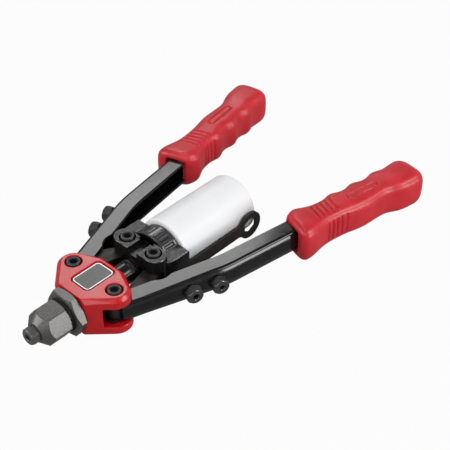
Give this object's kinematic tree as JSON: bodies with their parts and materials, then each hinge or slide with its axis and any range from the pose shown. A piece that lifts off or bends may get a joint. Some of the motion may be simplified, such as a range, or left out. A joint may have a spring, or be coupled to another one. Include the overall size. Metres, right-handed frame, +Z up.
{
  "type": "two-handed hand riveter",
  "caption": "Long-arm hand riveter with a nose housing, toggle links, bent channel arms, moulded grips, spare nosepieces, a spanner and a collection bottle for spent mandrels.",
  "frame": {"origin": "centre of the fitted nosepiece's front face, on the pulling axis", "axes": "+X from the nose back towards the handles, +Z up, +Y to the user's right; the pose is the pictured one, handles part open"},
  "size_m": [0.3231, 0.1956, 0.0458],
  "materials": {
    "head_red": "gloss",
    "label_grey": "satin",
    "grey_steel": "satin",
    "black_steel": "satin",
    "brown_steel": "satin",
    "dark_cast": "satin",
    "arm_black": "gloss",
    "grip_red": "satin",
    "black_plastic": "satin",
    "white_plastic": "satin"
  },
  "bodies": {
    "head": {"head_casting": "head_red", "label_plate": "label_grey", "nose_housing": "grey_steel", "lock_nut": "grey_steel", "fitted_nosepiece": "grey_steel", "right_pivot_screw": "black_steel", "left_pivot_screw": "black_steel", "right_pivot_nut": "black_steel", "left_pivot_nut": "black_steel"},
    "pull_block": {"pull_block": "dark_cast", "pull_tube": "black_steel", "jaw_case": "black_steel", "jaw_spring": "grey_steel", "right_link_screw": "black_steel", "left_link_screw": "black_steel", "right_link_nut": "black_steel", "left_link_nut": "black_steel"},
    "jaws": {"jaw_set": "grey_steel", "jaw_pusher": "grey_steel"},
    "collar": {"bottle_collar": "black_plastic"},
    "bottle": {"collection_bottle": "white_plastic"},
    "spanner": {"nosepiece_spanner": "brown_steel"},
    "right_link": {"right_link": "brown_steel"},
    "left_link": {"left_link": "brown_steel"},
    "right_arm": {"right_arm": "arm_black", "right_pivot_bush": "grey_steel", "right_link_pin": "black_steel", "right_grip": "grip_red", "right_front_spare_nosepiece": "black_steel", "right_rear_spare_nosepiece": "black_steel"},
    "left_arm": {"left_arm": "arm_black", "left_pivot_bush": "grey_steel", "left_link_pin": "black_steel", "left_grip": "grip_red", "left_front_spare_nosepiece": "black_steel", "left_rear_spare_nosepiece": "black_steel"}
  },
  "joints": [
    {"name": "right_arm_swing", "type": "hinge", "parent": "head", "child": "right_arm", "pos_m": [0.0602, 0.02116, 0], "axis": [0, 0, -1], "range_deg": [-22, 8]},
    {"name": "left_arm_swing", "type": "hinge", "parent": "head", "child": "left_arm", "pos_m": [0.0602, -0.02116, 0], "axis": [0, 0, 1], "range_deg": [-22, 8]},
    {"name": "block_slide", "type": "slide", "parent": "head", "child": "pull_block", "axis": [1, 0, 0], "range_m": [-0.008, 0.003]},
    {"name": "right_link_turn", "type": "hinge", "parent": "pull_block", "child": "right_link", "pos_m": [0.1045, 0.0134, 0], "axis": [0, 0, 1], "range_deg": [-14, 5]},
    {"name": "left_link_turn", "type": "hinge", "parent": "pull_block", "child": "left_link", "pos_m": [0.1045, -0.0134, 0], "axis": [0, 0, -1], "range_deg": [-14, 5]},
    {"name": "jaw_push", "type": "slide", "parent": "pull_block", "child": "jaws", "axis": [1, 0, 0], "range_m": [0, 0.002], "stiffness_N_per_m": 2000, "springref_m": -0.001, "deforming": ["jaw_spring"]},
    {"name": "collar_turn", "type": "hinge", "parent": "pull_block", "child": "collar", "pos_m": [0.12, 0, 0], "axis": [1, 0, 0], "range_deg": [0, 60]},
    {"name": "bottle_pull", "type": "slide", "parent": "pull_block", "child": "bottle", "axis": [1, 0, 0], "range_m": [0, 0.085]},
    {"name": "spanner_pull", "type": "slide", "parent": "pull_block", "child": "spanner", "axis": [1, 0, 0], "range_m": [0, 0.018]}
  ],
  "couplings": [
    {"joint": "left_arm_swing", "follows": "right_arm_swing", "ratio": 1},
    {"joint": "block_slide", "follows": "right_arm_swing", "m_per_rad": 0.0205},
    {"joint": "right_link_turn", "follows": "right_arm_swing", "ratio": 0.615},
    {"joint": "left_link_turn", "follows": "right_arm_swing", "ratio": 0.615}
  ]
}
